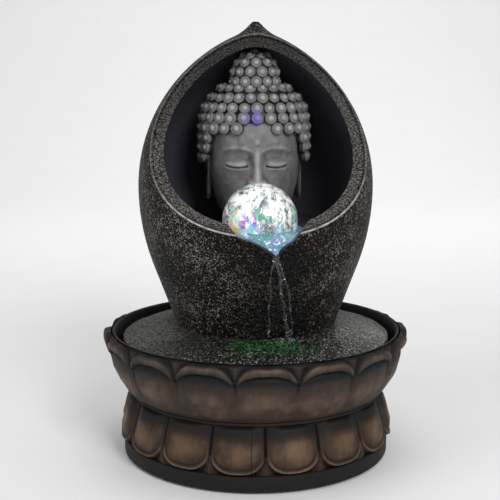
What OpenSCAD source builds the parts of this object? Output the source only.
// Tabletop water fountain: a stone-textured hood with a statue head in its niche, a crystal
// ball turning in a lit cup, and a domed deck over a lotus bowl that hides the pump.
// Millimetres, +Z up, front towards -Y, origin on the table under the middle of the base.

/* [Base and bowl] */
// Height of the lotus base, from its underside to its top
pedestal_h = 42; // [36:1:52]
// Radius of the base's foot band
foot_band_r = 93.5; // [90:0.5:113]
// Height of the foot band
foot_band_h = 11; // [8:1:14]
// Wall of the base and the bowl
casting_wall = 6; // [5:0.5:7.5]
// Radius of the bowl at its petal tips
bowl_r = 107; // [104:1:129]
// Height of the bowl, from its underside to its rim
bowl_h = 42.4; // [40:0.1:52]
// Radius of the bowl's underside
bowl_foot_r = 86; // [82:1:88]
// Number of lotus petals round the bowl and round the base
petals = 16; // [12:1:20]
// Felt pad thickness
pad_t = 1.5; // [1:0.5:3]
// Thickness of the dark ring between base and bowl
ring_t = 2.5; // [2:0.5:4]

/* [Deck] */
// Water gap between the deck's edge and the bowl's rim
deck_gap = 5.5; // [4:0.5:8]
// Rise of the domed deck from its edge to the hood's foot
deck_rise = 8.5; // [5:0.5:12]
// Deck thickness
deck_t = 5; // [4:0.5:7]
// Drop of the deck's edge below the bowl's rim
deck_drop = 3.9; // [2:0.1:6]
// Radius of a drain hole in the deck
drain_r = 4; // [2.5:0.5:5]

/* [Hood] */
// Height of the hood, from its foot to its tip
shell_h = 207; // [200:1:249]
// Largest radius of the hood
shell_r = 81; // [78:1:98]
// Height of the hood's widest place above its foot
belly_h = 95; // [90:1:105]
// Radius of the hood's foot
shell_foot_r = 56; // [54:1:60]
// Wall of the hood, which is the width of its flat lip
shell_wall = 8; // [6:0.5:10]
// Height of the flame tip above the dome
tip_h = 9.7; // [8:0.1:14]
// Radius of the dome where the flame tip starts
tip_base_r = 14.5; // [12:0.5:18]
// Radius of the flame tip's end
tip_r = 2.5; // [2:0.5:4]
// Height of the niche floor above the foot
niche_floor_h = 67; // [62:1:72]
// Height of the lip at the front above the foot
lip_h = 72; // [69:1:76]
// Radius of the scooped front opening
scoop_r = 137; // [120:1:180]
// Sideways place of the spout
spout_x = 7.5; // [-10:0.5:10]
// Depth of the spout's notch below the lip
spout_drop = 19; // [14:0.5:21]

/* [Ball, cup and light] */
// Radius of the crystal ball
ball_r = 25; // [20.5:0.5:27]
// Gap between the ball and its cup
ball_gap = 0.5; // [0.3:0.1:1]
// Radius of the cup
cup_r = 27; // [24:0.5:29]
// Gap round a piece that drops into the hood's well
well_gap = 0.3; // [0.2:0.1:0.5]
// Number of lamps in the light ring
lamps = 6; // [4:1:8]

/* [Pump] */
// Width of the pump
pump_w = 36; // [32:1:44]
// Height of the pump
pump_h = 30; // [28:1:36]
// Length of the motor block
motor_len = 40; // [36:1:48]
// Outside radius of the outlet spigot
spigot_r = 5; // [4.5:0.5:6]
// Radius of the rotor shaft
shaft_r = 1; // [0.8:0.1:1.2]
// Running gap round a turning or sliding piece
run_gap = 0.05; // [0.03:0.01:0.1]
// Gap between the faces of two pieces that move against each other
body_gap = 0.3; // [0.2:0.1:0.5]
// Radius of the cord's way through the grommet
cord_bore_r = 2.6; // [2:0.1:3.5]

/* [Hidden] */
$fn = 64;

// Heights of the stack, from the table up
pedestal_z = pad_t;
ring_z = pedestal_z + pedestal_h;
bowl_z = ring_z + ring_t;
rim_z = bowl_z + bowl_h;
basin_z = bowl_z + casting_wall - 1;        // floor of the reservoir
deck_edge_z = rim_z - deck_drop;
deck_z = deck_edge_z + deck_rise;           // flat of the deck, where the hood stands
floor_z = deck_z + niche_floor_h;
tip_z = deck_z + shell_h;

gap_w = 1.8;                                // width of the narrow part of a gap between petals

// Bowl rim
rim_r = bowl_r - 4;
rim_in_r = bowl_r - 8;
deck_r = rim_in_r - deck_gap;

// Grommet, in the flat that is milled into the bowl's back wall
grommet_back = rim_in_r - 0.5;              // inner side of the wall
grommet_wall = 4.5;                         // wall that is left between the two flats
grommet_z = rim_z - 14.7;
grommet_r = 4.5;
grommet_lip_r = 6.4;
grommet_lip_t = 1.6;

// Hood outline: a lower arc with a straight foot, a dome arc, and a hollow curve up to the tip
low_r = 0.8 * bulge_r(shell_r - shell_foot_r, belly_h);
low_c = [shell_r - low_r, belly_h];
foot_from_c = [shell_foot_r, 0] - low_c;
low_a = atan2(foot_from_c[1], foot_from_c[0]) + acos(low_r / norm(foot_from_c));
dome_r = bulge_r(shell_r - tip_base_r, shell_h - tip_h - belly_h);
dome_c = [shell_r - dome_r, belly_h];
dome_a = asin((shell_h - tip_h - belly_h) / dome_r);
flare_low = [tip_base_r, shell_h - tip_h];
flare_top = [tip_r, shell_h];
flare_mid = flare_low + norm(flare_top - flare_low) / 2 * [-sin(dome_a), cos(dome_a)];
niche_top_a = acos(-dome_c[0] / (dome_r - shell_wall));
niche_top_z = deck_z + belly_h + (dome_r - shell_wall) * sin(niche_top_a);
shell_steps = 10;                           // straight steps in each arc of the hood's outline

// Scooped opening: an arc in the Y-Z plane from the front of the lip to just under the tip
scoop_low = [-hood_r(lip_h), deck_z + lip_h];
scoop_top = [-11, tip_z - 18.5];
scoop_chord = scoop_top - scoop_low;
scoop_c = (scoop_low + scoop_top) / 2
    + [-scoop_chord[1], scoop_chord[0]] / norm(scoop_chord)
    * sqrt(scoop_r * scoop_r - scoop_chord * scoop_chord / 4);
shoulder_r = 26.4;                          // radius of the spout's rounded shoulders
spout_half_w = 2;                           // half width of the spout's bottom
shoulder_low_a = asin((shoulder_r - spout_drop) / shoulder_r);
shoulder_top_a = 59;

// Well, light ring, cup and ball, from the bottom of the well up
well_r = cup_r + well_gap;
cup_rim_z = floor_z - 2;
ball_z = cup_rim_z + 0.48 * ball_r;
cup_z = ball_z - ball_r - 5;
gasket_t = 1;
lens_t = 2;
led_t = 8;
lens_z = cup_z - gasket_t - lens_t;
led_z = lens_z - led_t;
well_z = led_z;
well_floor_t = 5;
well_wall = 4;
ball_y = -(hood_r(cup_z - deck_z) - 4 - well_r);  // leaves a 4 mm wall in front of the well
led_r = cup_r - 3;
led_in_r = 10;
lamp_r = 2.5;
lamp_ring_r = (led_r + led_in_r) / 2;
jet_r = 4;
jet_bore_r = 2.5;
hose_wall = 1.2;
hose_gap = 0.1;
hose_in_r = spigot_r + hose_gap;
hose_r = hose_in_r + hose_wall;

// Head: sized by the niche it stands in
head_room = 5;                              // air above the head
head_back_gap = 11;                         // air behind the hair
head_nominal_h = 122;
hair_nominal_r = 36;
knot_lean = 12;                             // how far the top knot sits forward of the head
head_k_by_h = (niche_top_z - head_room - floor_z) / head_nominal_h;
head_k_by_depth = (niche_r(132) - head_back_gap - ball_y - ball_r - 3) / (2 * hair_nominal_r - 5);
head_k = min(head_k_by_h, head_k_by_depth);
head_y = niche_r(132) - head_back_gap - hair_nominal_r * head_k;

// Pump, whose outlet is straight under the ball
cup_foot_h = 5;
pump_z = basin_z + cup_foot_h;
axle_z = pump_z + 12;
volute_len = 16;
volute_y = ball_y - volute_len / 2;         // front of the volute
motor_y = ball_y + volute_len / 2;          // front of the motor block
rotor_r = 6.8;
rotor_len = 22;
impeller_r = 11;
impeller_t = 8;
chamber_t = impeller_t + 1.5;
cover_len = 9;
cover_wall = 2;
cover_h = pump_h - 4;                       // low enough to pull out from under the deck
spigot_top = pump_z + pump_h + 8;
socket_y = motor_y + 20;
socket_h = 6;
plug_r = 4;
bush_r = 3;
bush_t = 3;
dial_pin_r = 2;

// Legs under the deck
leg_ring = shell_foot_r + 13;
leg_r = 6;
tip_pad_t = 4;

// Screws
screw_r = 2;
screw_gap = 0.1;
bowl_screw_ring = 60;
shell_screw_ring = shell_foot_r - shell_wall / 2;

// Radius of a circle that leaves a vertical line and bends in by dx over a height dz
function bulge_r(dx, dz) = (dx * dx + dz * dz) / (2 * dx);
// Points on a circle from angle a0 to angle a1
function arc(c, r, a0, a1, n) = [for (i = [0:n]) let (a = a0 + (a1 - a0) * i / n)
    [c[0] + r * cos(a), c[1] + r * sin(a)]];
// Outside radius of the hood's lower part at height h above its foot
function hood_r(h) = low_c[0] + sqrt(low_r * low_r - (h - belly_h) * (h - belly_h));
// Inside radius of the niche's dome at height h above the foot
function niche_r(h) = dome_c[0] + sqrt(pow(dome_r - shell_wall, 2) - pow(h - belly_h, 2));
// Angle on the lower arc's inner wall at height h above the foot
function low_wall_a(h) = asin((h - belly_h) / (low_r - shell_wall));

module ring(r_out, r_in, h) {
    difference() {
        cylinder(r = r_out, h = h);
        translate([0, 0, -1]) cylinder(r = r_in, h = h + 2);
    }
}

// Copies of the children at equal turns round the Z axis
module around(n, start = 0) {
    for (i = [0:n - 1]) rotate(start + i * 360 / n) children();
}

// A rounded rectangle, w along X and h along Y, standing on the X axis
module rounded(w, h, r) {
    translate([-w / 2 + r, 0]) square([w - 2 * r, h]);
    translate([-w / 2, r]) square([w, h - 2 * r]);
    for (x = [-w / 2 + r, w / 2 - r], y = [r, h - r]) translate([x, y]) circle(r);
}

// A rounded block with its section in X-Z, running from y0 towards +Y
module block_y(w, h, r, y0, z0, len) {
    translate([0, y0 + len, z0]) rotate([90, 0, 0]) linear_extrude(len) rounded(w, h, r);
}

// A cylinder lying along Y
module rod_y(r, y0, z, len, x = 0) {
    translate([x, y0, z]) rotate([-90, 0, 0]) cylinder(r = r, h = len);
}

// The gap between two petals: a slanted slot behind a straight line from radius ra at height za
// to radius rb at height zb, whose outline is a list of [distance along the line, half width]
module petal_gap(ra, za, rb, zb, outline) {
    last = len(outline) - 1;
    translate([0, -ra, za]) rotate([90 + atan2(rb - ra, zb - za), 0, 0]) linear_extrude(20)
        polygon(concat(outline_side(outline, 1), [for (i = [last:-1:0]) outline_side(outline, -1)[i]]));
}

function outline_side(outline, s) = [for (p = outline) [s * p[1], p[0]]];

module pedestal() {
    band_top = pedestal_z + foot_band_h;
    top = pedestal_z + pedestal_h;
    in_r = bowl_foot_r - casting_wall - 2;
    color("#4a3b30") difference() {
        rotate_extrude() polygon([[0, pedestal_z], [foot_band_r, pedestal_z],
            [foot_band_r, band_top], [foot_band_r - 1, band_top], [foot_band_r + 1.5, band_top + 4],
            [foot_band_r + 1.6, band_top + 8], [foot_band_r - 0.5, band_top + 16],
            [foot_band_r - 2.8, band_top + 24], [bowl_foot_r + 1.5, top], [0, top]]);
        translate([0, 0, pedestal_z - 1]) cylinder(r1 = in_r, r2 = in_r, h = pedestal_h - casting_wall + 1);
        translate([0, 0, pedestal_z]) cylinder(r = 32, h = pedestal_h + 1);
        around(petals, 180 / petals)
            petal_gap(foot_band_r - 1.5, band_top + 0.3, bowl_foot_r, top,
                [[0, 4.5], [12, gap_w / 2], [pedestal_h, gap_w / 2]]);
        around(3, 90) translate([bowl_screw_ring, 0, top - casting_wall - 1])
            cylinder(r = screw_r + screw_gap, h = casting_wall + 2);
    }
}

module foot_pads() {
    pad_ring = (foot_band_r + bowl_foot_r - casting_wall - 2) / 2;
    color("#2b2b2b") around(4, 45) translate([pad_ring, 0, 0]) cylinder(r = 5.5, h = pad_t);
}

module waist_ring() {
    color("#1c1a19") translate([0, 0, ring_z]) ring(bowl_foot_r + 2.5, bowl_foot_r - 8, ring_t);
}

module lotus_bowl() {
    color("#3f3a37") difference() {
        rotate_extrude() polygon([[0, bowl_z], [bowl_foot_r, bowl_z], [bowl_foot_r + 3, bowl_z + 1.5],
            [bowl_foot_r + 7.5, bowl_z + 6], [bowl_r - 10, bowl_z + 11], [bowl_r - 6, bowl_z + 18],
            [bowl_r - 4, bowl_z + 26], [bowl_r - 1.5, bowl_z + 32], [bowl_r, bowl_z + 35],
            [bowl_r, rim_z - 4], [bowl_r - 2.5, rim_z - 2.4], [rim_r, rim_z - 2.4], [rim_r, rim_z],
            [rim_in_r, rim_z], [rim_in_r - 1, rim_z - 14], [bowl_foot_r - 2, basin_z + 2],
            [bowl_foot_r - 6, basin_z], [0, basin_z]]);
        around(petals, 180 / petals)
            petal_gap(bowl_foot_r + 4, bowl_z + 3, rim_r - 0.5, rim_z - 3,
                [[0, gap_w / 2], [bowl_h - 15, gap_w / 2], [bowl_h - 4, 5]]);
        rod_y(grommet_r, grommet_back - 10, grommet_z, 30);
        rod_y(grommet_lip_r + 0.4, grommet_back + grommet_wall, grommet_z, 20);
        rod_y(grommet_lip_r + 0.4, grommet_back - 10, grommet_z, 10);
        around(3, 90) translate([bowl_screw_ring, 0, bowl_z - 1])
            cylinder(r = screw_r + screw_gap, h = casting_wall - 1.4);
    }
}

module bowl_screws() {
    plate_z = ring_z - casting_wall;
    color("#8d8d8d") around(3, 90) translate([bowl_screw_ring, 0, 0]) {
        translate([0, 0, plate_z - 2.5]) cylinder(r = 4, h = 2.5);
        translate([0, 0, plate_z - 0.1]) cylinder(r = screw_r, h = bowl_z + 3 - plate_z);
    }
}

module cord_grommet() {
    color("#151515") difference() {
        union() {
            rod_y(grommet_r, grommet_back - 1, grommet_z, grommet_wall + 2);
            rod_y(grommet_lip_r, grommet_back - grommet_lip_t, grommet_z, grommet_lip_t);
            rod_y(grommet_lip_r, grommet_back + grommet_wall, grommet_z, grommet_lip_t);
        }
        rod_y(cord_bore_r, grommet_back - 3, grommet_z, 12);
    }
}

module deck() {
    ledge_r = shell_foot_r + 1;
    opening_r = 40;
    spigot = shell_foot_r - shell_wall - 0.5;
    color("#3c3c3a") difference() {
        union() {
            rotate_extrude() polygon([[opening_r, deck_z - deck_t], [ledge_r, deck_z - deck_t],
                [deck_r - 1, deck_edge_z - deck_t], [deck_r, deck_edge_z - deck_t + 1],
                [deck_r, deck_edge_z - 1], [deck_r - 1, deck_edge_z],
                [(ledge_r + deck_r) / 2, deck_edge_z + 0.62 * deck_rise], [ledge_r, deck_z],
                [opening_r, deck_z]]);
            translate([0, 0, deck_z - 1]) ring(spigot, opening_r + 2, 6);
        }
        translate([0, ball_y, deck_z - deck_t - 1]) cylinder(r = hose_r + 1, h = deck_t + 8);
        around(2, 23) translate([0, -shell_foot_r - 10, deck_edge_z - deck_t - 1])
            cylinder(r = drain_r, h = deck_rise + deck_t + 3);
        around(3, 90) translate([shell_screw_ring, 0, deck_z - deck_t - 1])
            cylinder(r = screw_r + screw_gap, h = deck_t + 2);
    }
}

module deck_legs() {
    slope = deck_rise / (deck_r - shell_foot_r - 2);
    top = deck_edge_z - deck_t + slope * (deck_r - 1 - leg_ring - leg_r);
    color("#343432") around(3, 90) translate([leg_ring, 0, basin_z + tip_pad_t])
        cylinder(r = leg_r, h = top - basin_z - tip_pad_t);
}

module leg_tips() {
    color("#151515") around(3, 90) translate([leg_ring, 0, basin_z])
        cylinder(r = leg_r + 0.5, h = tip_pad_t);
}

// The hood's outside as one closed outline, from its foot to its tip
function hood_outline() = concat([[0, 0], [shell_foot_r, 0]],
    arc(low_c, low_r, low_a, 0, shell_steps),
    [for (i = [1:shell_steps]) arc(dome_c, dome_r, 0, dome_a, shell_steps)[i]],
    [for (i = [1:shell_steps]) let (t = i / shell_steps)
        (1 - t) * (1 - t) * flare_low + 2 * t * (1 - t) * flare_mid + t * t * flare_top],
    [[0, shell_h]]);

// The niche, from its floor to its domed top
function niche_outline() = concat([[0, niche_floor_h]],
    arc(low_c, low_r - shell_wall, low_wall_a(niche_floor_h), 0, shell_steps),
    [for (i = [1:shell_steps]) arc(dome_c, dome_r - shell_wall, 0, niche_top_a, shell_steps)[i]]);

// The hollow under the niche floor, open at the foot
function undercut_outline() = concat([[0, -1], [shell_foot_r - shell_wall, -1],
    [shell_foot_r - shell_wall, 6]],
    arc(low_c, low_r - shell_wall, low_a, low_wall_a(niche_floor_h - shell_wall), shell_steps),
    [[0, niche_floor_h - shell_wall]]);

// The spout's notch: rounded shoulders that run out into straight flanks above the lip
module spout_cut() {
    lip_z = deck_z + lip_h;
    shoulder_c = [spout_half_w + sqrt(pow(shoulder_r, 2) - pow(shoulder_r - spout_drop, 2)),
        lip_z - shoulder_r];
    flank = [for (t = [0:6]) let (a = shoulder_low_a + (shoulder_top_a - shoulder_low_a) * t / 6)
        [shoulder_c[0] - shoulder_r * cos(a), shoulder_c[1] + shoulder_r * sin(a)]];
    rise = lip_z + 8 - flank[6][1];
    half = concat(flank, [[flank[6][0] + rise * tan(shoulder_top_a), lip_z + 8]]);
    translate([spout_x, ball_y, 0]) rotate([90, 0, 0]) linear_extrude(60)
        polygon(concat(half, [for (i = [7:-1:0]) [-half[i][0], half[i][1]]]));
}

module shell() {
    color("#35322f") difference() {
        union() {
            difference() {
                translate([0, 0, deck_z]) rotate_extrude() polygon(hood_outline());
                translate([0, 0, deck_z]) rotate_extrude() polygon(niche_outline());
                translate([0, 0, deck_z]) rotate_extrude() polygon(undercut_outline());
            }
            intersection() {
                translate([0, ball_y, well_z - well_floor_t])
                    cylinder(r = well_r + well_wall, h = floor_z - well_z + well_floor_t - 1);
                translate([0, 0, deck_z]) cylinder(r = hood_r(well_z - well_floor_t - deck_z) - 2,
                    h = niche_floor_h - 1);
            }
        }
        translate([-150, scoop_c[0], scoop_c[1]]) rotate([0, 90, 0]) cylinder(r = scoop_r, h = 300);
        spout_cut();
        translate([0, ball_y, well_z]) cylinder(r = led_r + well_gap, h = cup_z - well_z + 1);
        translate([0, ball_y, cup_z]) cylinder(r = well_r, h = 50);
        translate([0, ball_y, deck_z - 1])
            cylinder(r = hose_r + 0.5, h = well_z - well_floor_t - deck_z + 1);
        translate([0, ball_y, well_z - well_floor_t - 1]) cylinder(r = spigot_r + 0.2, h = 20);
        translate([0, ball_y + 15, well_z - well_floor_t - 1]) cylinder(r = 1.5, h = 20);
        translate([0, head_y, floor_z - 6]) cylinder(r = 3, h = 10);
        around(3, 90) translate([shell_screw_ring, 0, deck_z - 1])
            cylinder(r = screw_r + screw_gap, h = 13);
    }
}

module shell_screws() {
    color("#8d8d8d") around(3, 90) translate([shell_screw_ring, 0, 0]) {
        translate([0, 0, deck_z - deck_t - 2.2]) cylinder(r = 3.4, h = 2.2);
        translate([0, 0, deck_z - deck_t - 0.1]) cylinder(r = screw_r, h = deck_t + 11);
    }
}

// A plain turned head: neck, face, hair cap and top knot, with long ears and a nose
module statue_head() {
    color("#6f6d6b") translate([0, head_y, floor_z]) scale(head_k) {
        difference() {
            rotate_extrude() polygon([[0, 0], [20, 0], [21, 5], [26, 10], [30, 22], [31, 38], [32, 50],
                [35, 56], [36, 66], [35, 76], [31, 85], [24, 93], [10, 98], [0, 98]]);
            translate([0, 0, -1 / head_k]) cylinder(r = 3 / head_k, h = 15 / head_k);
        }
        translate([0, -knot_lean, 0]) rotate_extrude() polygon([[0, 90], [14, 90], [17, 98],
            [17, 106], [13, 113], [7, 118.5], [3, head_nominal_h], [0, head_nominal_h]]);
        for (s = [-1, 1]) translate([s * 30, 2, 18]) cylinder(r = 3.5, h = 36);
        translate([0, -29, 36]) sphere(5);
    }
}

module head_dowel() {
    color("#9a9a9a") translate([0, head_y, floor_z - 6]) cylinder(r = 2.9, h = 18);
}

module nozzle() {
    color("#1a1a1a") translate([0, ball_y, 0]) difference() {
        union() {
            translate([0, 0, well_z - 20]) cylinder(r = spigot_r, h = 20);
            translate([0, 0, well_z]) cylinder(r = 8, h = 2);
            translate([0, 0, well_z]) cylinder(r = jet_r, h = ball_z - ball_r - 1.5 - well_z);
        }
        translate([0, 0, well_z - 25]) cylinder(r = jet_bore_r, h = 60);
    }
}

module led_housing() {
    color("#e8e8e4") translate([0, ball_y, led_z]) difference() {
        ring(led_r, led_in_r, led_t);
        around(lamps, 30) translate([lamp_ring_r, 0, 3]) cylinder(r = lamp_r + 0.1, h = led_t);
    }
}

module led_lamps() {
    color("#d8f0ff") translate([0, ball_y, led_z + 3])
        around(lamps, 30) translate([lamp_ring_r, 0, 0]) cylinder(r = lamp_r, h = led_t - 3);
}

module led_lens() {
    color("#e4f2f4") translate([0, ball_y, lens_z]) ring(led_r, led_in_r, lens_t);
}

module cup_gasket() {
    color("#141414") translate([0, ball_y, cup_z - gasket_t]) ring(led_r, led_r - 4, gasket_t);
}

module ball_cup() {
    color("#dfeef0") translate([0, ball_y, 0]) difference() {
        translate([0, 0, cup_z]) cylinder(r = cup_r, h = cup_rim_z - cup_z);
        translate([0, 0, ball_z]) sphere(ball_r + ball_gap, $fn = 96);
        translate([0, 0, cup_z - 1]) cylinder(r = jet_r + 0.2, h = 20);
    }
}

module crystal_ball() {
    color("#f2f6f8") translate([0, ball_y, ball_z]) sphere(ball_r, $fn = 96);
}

// The lamp lead: down from the light ring, across, and down into its plug
module led_lead() {
    lead_r = 1.2;
    top = [0, ball_y + 15, led_z];
    bend = [0, ball_y + 15, led_z - 15];
    low = [0, socket_y, spigot_top + 12];
    end = [0, socket_y, pump_z + pump_h + socket_h + 10];
    color("#202020") {
        between(top, bend, lead_r);
        translate(bend) sphere(lead_r);
        between(bend, low, lead_r);
        translate(low) sphere(lead_r);
        between(low, end, lead_r);
    }
}

// A cylinder of radius r from point a to point b, both in one Y-Z plane
module between(a, b, r) {
    d = b - a;
    translate(a) rotate([180 + atan2(d[1], -d[2]), 0, 0]) cylinder(r = r, h = norm(d));
}

module led_plug() {
    color("#262626") translate([0, socket_y, pump_z + pump_h + 1]) {
        cylinder(r = plug_r - run_gap, h = socket_h - 0.5);
        translate([0, 0, socket_h - 1 + body_gap]) cylinder(r = plug_r + 1.5, h = 10 - body_gap);
    }
}

module riser_tube() {
    color("#c9d4d2") translate([0, ball_y, spigot_top - 7])
        ring(hose_r, hose_in_r, well_z - well_floor_t - spigot_top + 7);
}

module pump_motor() {
    color("#1d1f22") difference() {
        union() {
            block_y(pump_w, pump_h, 4, motor_y, pump_z, motor_len);
            translate([0, socket_y, pump_z + pump_h - 1]) cylinder(r = plug_r + 2, h = socket_h + 1);
        }
        translate([0, socket_y, pump_z + pump_h]) cylinder(r = plug_r, h = socket_h + 1);
        rod_y(rotor_r + 0.4, motor_y - 1, axle_z, rotor_len + 3);
        rod_y(bush_r, motor_y + 1, axle_z, rotor_len + 1 + bush_t);
    }
}

module pump_volute() {
    color("#26282b") difference() {
        union() {
            block_y(pump_w, pump_h, 4, volute_y, pump_z, volute_len);
            translate([0, ball_y, pump_z + pump_h - 1])
                cylinder(r = spigot_r, h = spigot_top - pump_z - pump_h + 1);
        }
        rod_y(impeller_r + 1, motor_y - chamber_t, axle_z, chamber_t + 1);
        translate([0, ball_y, axle_z]) cylinder(r = 3, h = 60);
        around_axle(4) rod_y(2.4, volute_y - 1, 6.4, volute_len);
        rod_y(bush_r, motor_y - chamber_t - bush_t, axle_z, bush_t + 1);
    }
}

// Copies of the children, drawn about the Y axis, at equal turns round the rotor's axle
module around_axle(n) {
    for (i = [0:n - 1]) translate([0, 0, axle_z]) rotate([0, 45 + i * 360 / n, 0]) children();
}

module pump_rotor() {
    hub_y = motor_y - chamber_t + 0.75;
    color("#5a5c60") difference() {
        union() {
            rod_y(rotor_r, hub_y + impeller_t, axle_z, rotor_len - 1.5);
            rod_y(4, hub_y, axle_z, impeller_t + 1);
            rod_y(impeller_r, hub_y + impeller_t - 1.5, axle_z, 1.5);
            for (i = [0:5]) translate([0, 0, axle_z]) rotate([0, i * 60, 0])
                translate([-0.75, hub_y, 3]) cube([1.5, impeller_t - 1, impeller_r - 3.5]);
        }
        rod_y(shaft_r + run_gap, hub_y - 5, axle_z, 60);
    }
}

module pump_shaft() {
    color("#f0f0ec") rod_y(shaft_r, motor_y - chamber_t - bush_t + 0.5, axle_z,
        chamber_t + rotor_len + 2 + 2 * bush_t - 1);
}

module shaft_bushes() {
    color("#303030") for (y = [motor_y - chamber_t - bush_t, motor_y + rotor_len + 2]) difference() {
        rod_y(bush_r, y, axle_z, bush_t);
        rod_y(shaft_r, y - 1, axle_z, bush_t + 2);
    }
}

module intake_cover() {
    front = volute_y - cover_len;
    slots = 5;
    color("#1d1f22") difference() {
        block_y(pump_w, cover_h, 4, front, pump_z, cover_len - body_gap);
        block_y(pump_w - 2 * cover_wall, cover_h - 2 * cover_wall, 2, front + cover_wall,
            pump_z + cover_wall, cover_len);
        for (s = [-1, 1], i = [0:slots - 1]) translate([s * (pump_w / 4 + 1) - 4, front - 1,
            pump_z + 5 + i * (cover_h - 10) / slots]) cube([8, cover_wall + 2, 2]);
        rod_y(dial_pin_r + run_gap, front - 1, pump_z + pump_h / 2, 5);
    }
}

module intake_sponge() {
    gap = 0.4;
    w = pump_w - 2 * cover_wall - 2 * gap;
    h = cover_h - 2 * cover_wall - 2 * gap;
    color("#3a3f45") block_y(w, h, 2, volute_y - cover_len + cover_wall + 2.5, pump_z + cover_wall + gap,
        cover_len - cover_wall - 2.8);
}

module flow_dial() {
    front = volute_y - cover_len;
    z = pump_z + pump_h / 2;
    color("#c8402c") {
        rod_y(4.6, front - body_gap - 2.6, z, 2.6);
        rod_y(dial_pin_r, front - body_gap - 0.5, z, cover_wall + 1.5);
        translate([-0.8, front - body_gap - 4, z - 4]) cube([1.6, 2, 8]);
    }
}

module suction_cups() {
    color("#9fb0b0") for (x = [-1, 1], y = [-1, 1])
        translate([x * 10, motor_y + motor_len / 2 + y * 12, basin_z])
            rotate_extrude() polygon([[0, 0.8], [5.5, 0], [6, 0], [3, 3], [2.6, cup_foot_h], [0, cup_foot_h]]);
}

pedestal();
foot_pads();
waist_ring();
lotus_bowl();
bowl_screws();
cord_grommet();
deck();
deck_legs();
leg_tips();
shell();
shell_screws();
statue_head();
head_dowel();
nozzle();
led_housing();
led_lamps();
led_lens();
cup_gasket();
ball_cup();
led_lead();
led_plug();
riser_tube();
crystal_ball();
pump_motor();
pump_volute();
pump_rotor();
pump_shaft();
shaft_bushes();
intake_cover();
intake_sponge();
flow_dial();
suction_cups();
